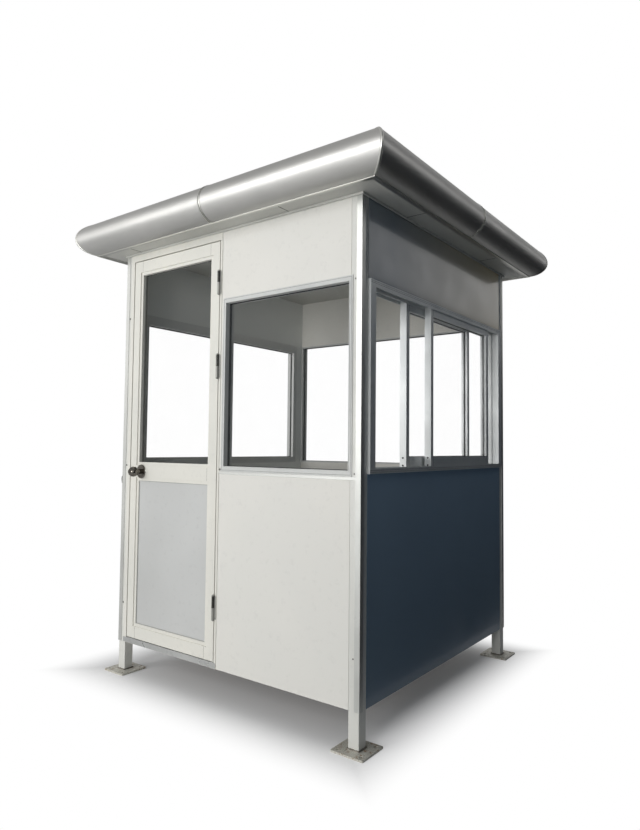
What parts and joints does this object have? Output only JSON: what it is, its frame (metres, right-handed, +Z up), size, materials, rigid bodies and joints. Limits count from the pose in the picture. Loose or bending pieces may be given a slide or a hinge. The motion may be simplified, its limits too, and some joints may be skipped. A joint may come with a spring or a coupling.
{
  "type": "guard booth",
  "caption": "Square guard booth on short legs, with a hinged glazed door, a part-open sliding window on the right, fixed windows in the other walls and a flat roof with a rounded aluminium eave.",
  "frame": {"origin": "on the ground under the middle of the booth and its roof", "axes": "+Z up; the front wall with the door and the fixed window faces -Y; the wall with the part-open sliding window faces +X"},
  "size_m": [1.906, 1.872, 2.352],
  "materials": {
    "front_panel": "satin off-white coated steel skin",
    "window_aluminium": "natural anodised aluminium",
    "glass": "clear float glass",
    "galvanised_plate": "galvanised, dull, with some rust and scratches",
    "trim_aluminium": "satin white coated aluminium angle",
    "door_paint": "satin cream-white coated aluminium",
    "knob_steel": "dark polished stainless steel",
    "door_panel": "satin light grey coated panel",
    "eave_aluminium": "satin silver, drawn lengthwise",
    "floor_steel": "primed steel channel",
    "floor_board": "matt sealed floor board",
    "hinge_steel": "dark worn steel",
    "side_panel": "glossy dark blue coated steel skin",
    "post_paint": "satin white paint on steel tube",
    "roof_panel": "satin light grey coated steel skin"
  },
  "bodies": {
    "booth": {"back_lower_panel": "front_panel", "back_upper_panel": "front_panel", "back_window_frame": "window_aluminium", "back_window_glass": "glass", "base_plate_back_left": "galvanised_plate", "base_plate_back_right": "galvanised_plate", "base_plate_front_left": "galvanised_plate", "base_plate_front_right": "galvanised_plate", "corner_trim_back_left": "trim_aluminium", "corner_trim_back_right": "trim_aluminium", "corner_trim_front_left": "trim_aluminium", "corner_trim_front_right": "trim_aluminium", "door_surround": "door_paint", "eave_back": "eave_aluminium", "eave_front": "eave_aluminium", "eave_left": "eave_aluminium", "eave_right": "eave_aluminium", "floor_frame": "floor_steel", "floor_panel": "floor_board", "front_lower_panel": "front_panel", "front_upper_panel": "front_panel", "front_window_frame": "window_aluminium", "front_window_glass": "glass", "hinge_bottom_jamb_leaf": "hinge_steel", "hinge_middle_jamb_leaf": "hinge_steel", "hinge_top_jamb_leaf": "hinge_steel", "left_wall": "side_panel", "left_window_frame": "window_aluminium", "left_window_glass": "glass", "post_back_left": "post_paint", "post_back_right": "post_paint", "post_front_left": "post_paint", "post_front_right": "post_paint", "right_inner_pane": "glass", "right_inner_sash": "window_aluminium", "right_lower_panel": "side_panel", "right_outer_pane": "glass", "right_outer_sash": "window_aluminium", "right_upper_panel": "side_panel", "right_window_frame": "window_aluminium", "roof_panel": "roof_panel"},
    "door": {"door_frame": "door_paint", "door_glass": "glass", "door_lock": "knob_steel", "door_panel": "door_panel", "hinge_bottom_door_leaf": "hinge_steel", "hinge_middle_door_leaf": "hinge_steel", "hinge_top_door_leaf": "hinge_steel"},
    "knob": {"door_knob": "knob_steel"}
  },
  "joints": [
    {"name": "door_swing", "type": "hinge", "parent": "booth", "child": "door", "pos_m": [-0.0445, -0.758, 1.156], "axis": [0, 0, 1], "range_deg": [0, 165]},
    {"name": "knob_turn", "type": "hinge", "parent": "door", "child": "knob", "pos_m": [-0.59, -0.73, 1.031], "axis": [0, -1, 0], "range_deg": [-60, 60], "stiffness_Nm_per_rad": 0.3}
  ]
}
